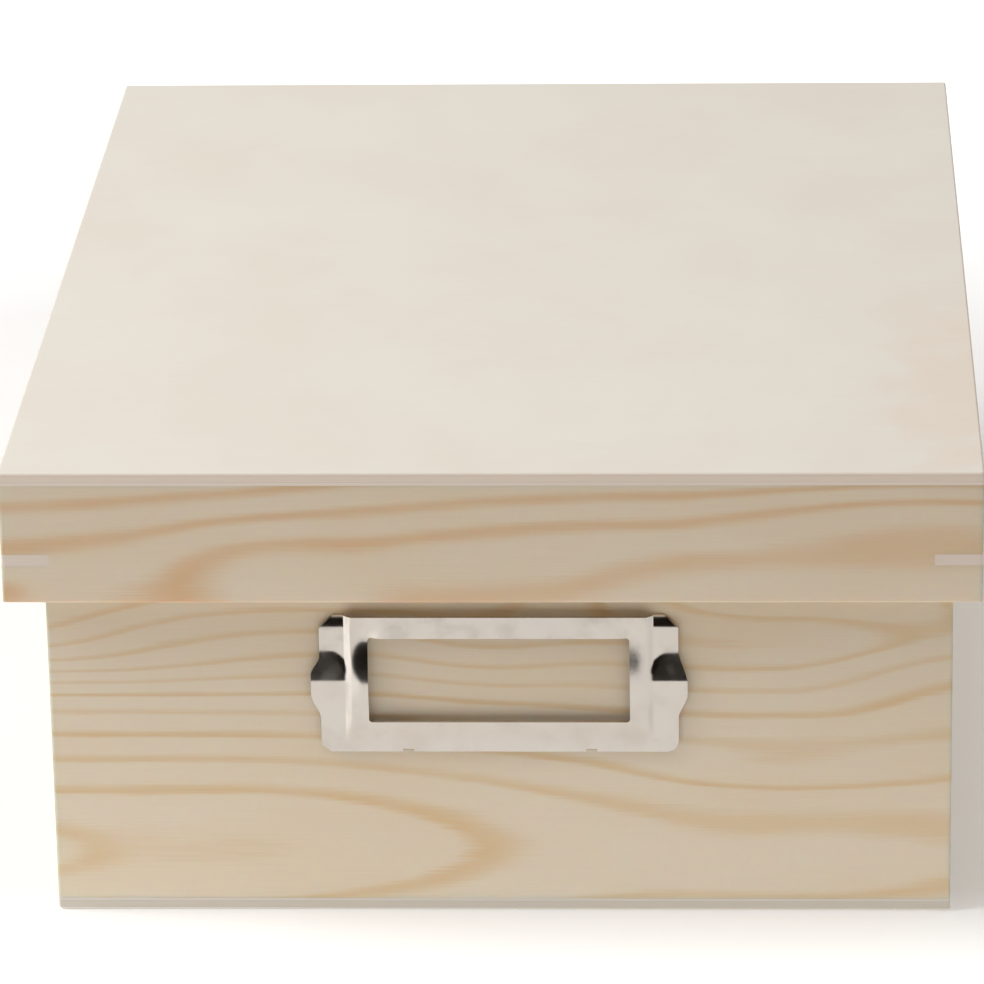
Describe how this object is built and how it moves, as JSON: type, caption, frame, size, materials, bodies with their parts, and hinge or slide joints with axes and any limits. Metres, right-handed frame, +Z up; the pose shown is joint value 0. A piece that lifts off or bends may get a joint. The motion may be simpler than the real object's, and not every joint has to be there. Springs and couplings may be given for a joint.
{
  "type": "photo storage box",
  "caption": "Wooden storage box for photographs with a lift-off lid that overlaps the walls and a stamped metal label holder on the front.",
  "frame": {"origin": "centre of the box's underside, on the surface that it stands on", "axes": "+Z up, the front with the label holder faces -Y, +X to the right as seen from the front"},
  "size_m": [0.22, 0.3, 0.11],
  "materials": {
    "pine_wall": "sanded, unfinished pine",
    "pine_rail": "sanded, unfinished pine",
    "plywood": "sanded, unfinished pale plywood",
    "key_wood": "sanded, unfinished pale hardwood",
    "nickel_steel": "bright nickel plate on pressed steel sheet"
  },
  "bodies": {
    "box": {"box_bottom_panel": "plywood", "box_front_wall": "pine_wall", "box_back_wall": "pine_wall", "box_left_wall": "pine_wall", "box_right_wall": "pine_wall", "label_holder": "nickel_steel"},
    "lid": {"lid_top_panel": "plywood", "lid_front_rail": "pine_rail", "lid_back_rail": "pine_rail", "lid_left_rail": "pine_rail", "lid_right_rail": "pine_rail", "lid_key_front_left": "key_wood", "lid_key_front_right": "key_wood", "lid_key_back_left": "key_wood", "lid_key_back_right": "key_wood"}
  },
  "joints": [
    {"name": "lid_lift", "type": "slide", "parent": "box", "child": "lid", "axis": [0, 0, 1], "range_m": [0, 0.16]}
  ]
}
